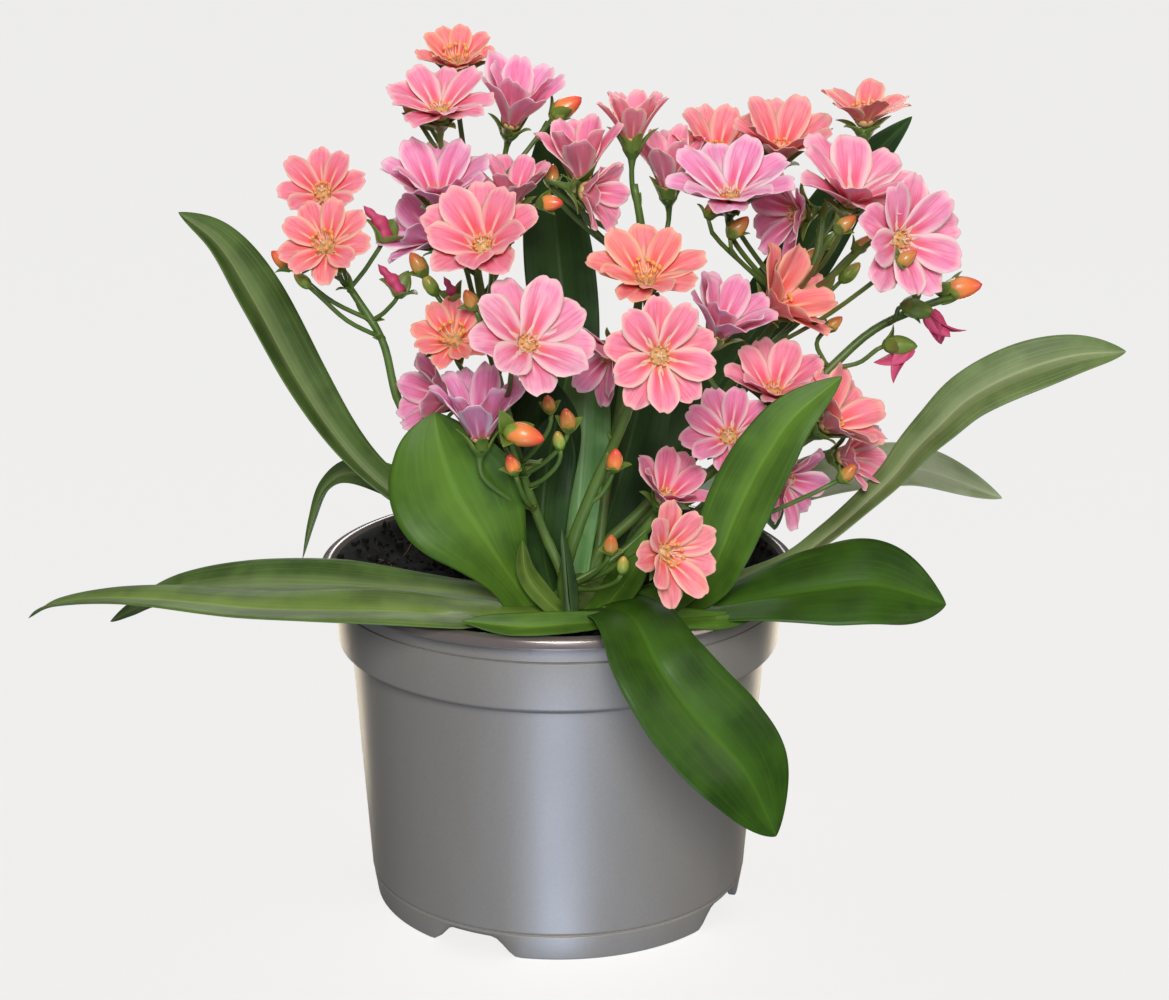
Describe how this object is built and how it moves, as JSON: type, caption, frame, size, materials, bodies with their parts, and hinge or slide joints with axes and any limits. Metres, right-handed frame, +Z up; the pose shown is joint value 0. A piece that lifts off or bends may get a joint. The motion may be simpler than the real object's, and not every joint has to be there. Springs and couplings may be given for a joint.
{
  "type": "potted lewisia",
  "caption": "Lewisia in flower in a round nursery pot: a rosette of spoon-shaped leaves and branched stalks with open pink and salmon blooms and buds.",
  "frame": {"origin": "on the surface the pot stands on, under the middle of the whole plant and pot, which is the pot's axis", "axes": "+Z up, -Y towards the front of the plant, +X to the right, along the longest spread of the leaves"},
  "size_m": [0.2679, 0.156, 0.2199],
  "materials": {
    "pot_silver": "satin silver-grey moulded polypropylene",
    "peat": "dark crumbly peat",
    "caudex": "rough brown-green stem",
    "leaf": "semi-gloss evergreen leaf",
    "stalk": "smooth green stalk with red-brown flush",
    "petal_pink": "satin petal, pink with deeper stripes",
    "petal_salmon": "satin petal, salmon to orange-pink"
  },
  "bodies": {
    "root": {"pot": "pot_silver", "potting_soil": "peat", "crown": "caudex", "stalk_left": "stalk", "stalk_middle": "stalk", "stalk_right": "stalk", "stalk_far_right": "stalk", "leaf_upper_left": "leaf", "leaf_broad_front": "leaf", "leaf_back_bending": "leaf", "leaf_left_front": "leaf", "leaf_left_back": "leaf", "leaf_right_upright": "leaf", "leaf_far_right": "leaf", "leaf_right_back": "leaf", "leaf_right_low": "leaf", "leaf_front_drooping": "leaf", "leaf_pale_middle": "leaf", "leaf_tall_back": "leaf", "leaf_tall_right": "leaf", "leaf_behind_front": "leaf", "leaf_rear_left": "leaf", "leaf_rear_middle": "leaf", "leaf_rear_right": "leaf", "bloom_01": "petal_salmon", "bloom_02": "petal_pink", "bloom_03": "petal_pink", "bloom_04": "petal_pink", "bloom_05": "petal_pink", "bloom_06": "petal_pink", "bloom_07": "petal_pink", "bloom_08": "petal_salmon", "bloom_09": "petal_pink", "bloom_10": "petal_pink", "bloom_11": "petal_pink", "bloom_12": "petal_pink", "bloom_13": "petal_salmon", "bloom_14": "petal_pink", "bloom_15": "petal_pink", "bloom_16": "petal_pink", "bloom_17": "petal_pink", "bloom_18": "petal_salmon", "bloom_19": "petal_salmon", "bloom_20": "petal_pink", "bloom_21": "petal_pink", "bloom_22": "petal_pink", "bloom_23": "petal_salmon", "bloom_24": "petal_pink", "bloom_25": "petal_salmon", "bloom_26": "petal_pink", "bloom_27": "petal_pink", "bloom_28": "petal_salmon", "bloom_29": "petal_pink", "bloom_30": "petal_pink", "bloom_31": "petal_pink", "bloom_32": "petal_salmon", "bloom_33": "petal_salmon", "bloom_34": "petal_pink", "bloom_35": "petal_pink", "bloom_36": "petal_pink"}
  },
  "joints": []
}
